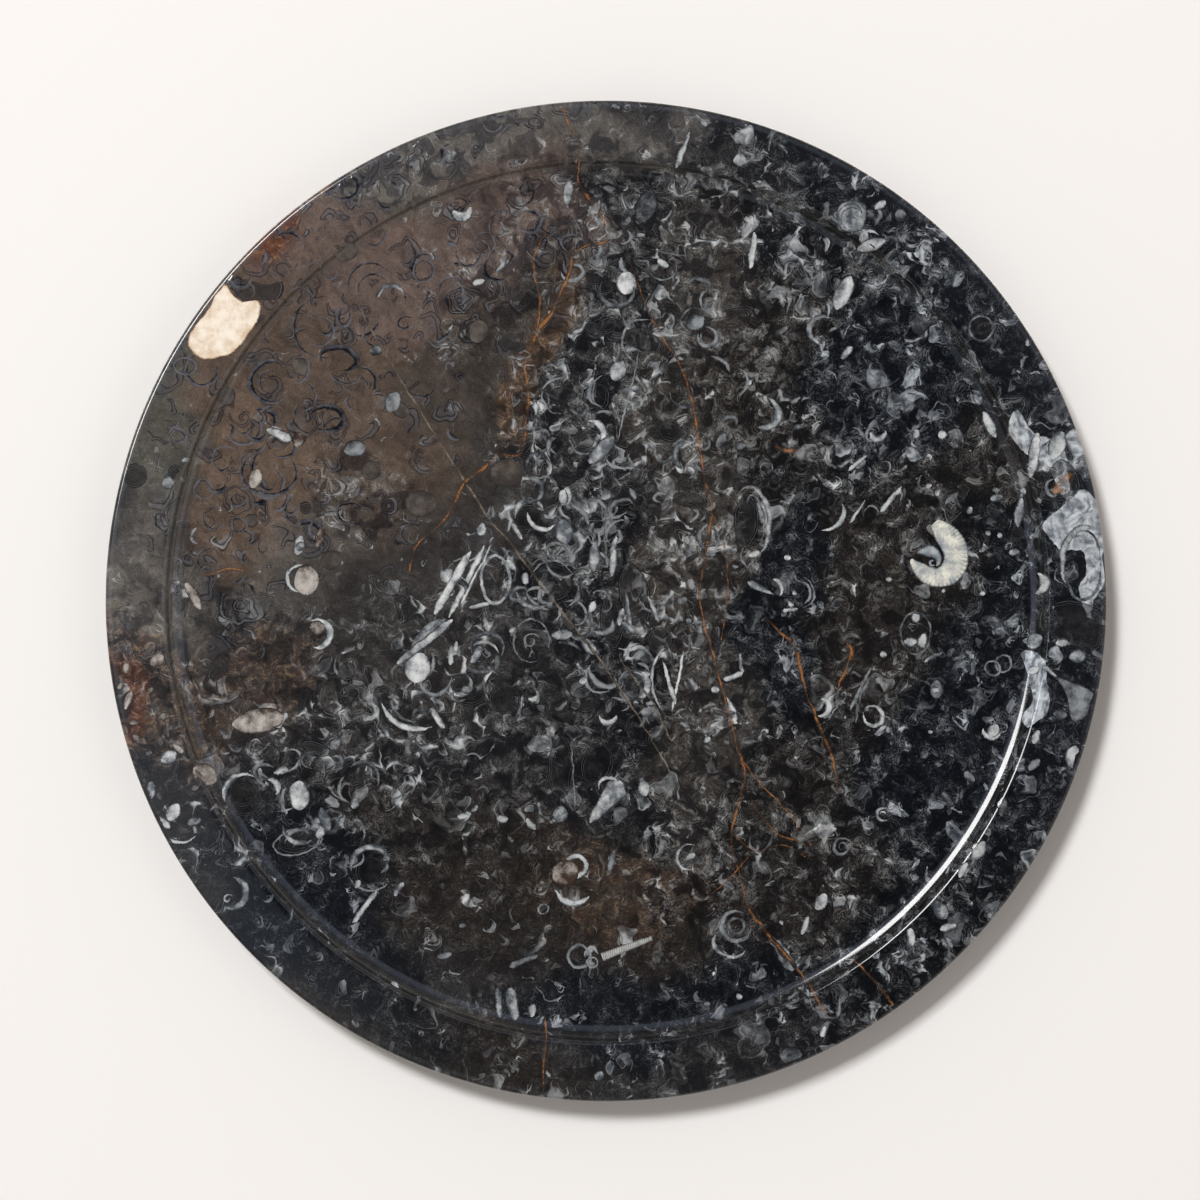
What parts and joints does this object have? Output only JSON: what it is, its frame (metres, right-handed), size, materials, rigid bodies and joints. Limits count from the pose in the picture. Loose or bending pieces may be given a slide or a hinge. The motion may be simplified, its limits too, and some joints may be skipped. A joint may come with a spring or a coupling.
{
  "type": "fossil ammonite plate",
  "caption": "Round polished fossil limestone plate with a flat rim and a shallow well, to hold or show small things; rests on its flat base.",
  "frame": {"origin": "middle of the flat base, on the turning axis", "axes": "+Z along the turning axis, up out of the well; +Y is the top of the picture and +X its right"},
  "size_m": [0.35, 0.35, 0.016],
  "materials": {
    "stone": "polished dark fossil limestone"
  },
  "bodies": {
    "root": {"plate": "stone"}
  },
  "joints": []
}
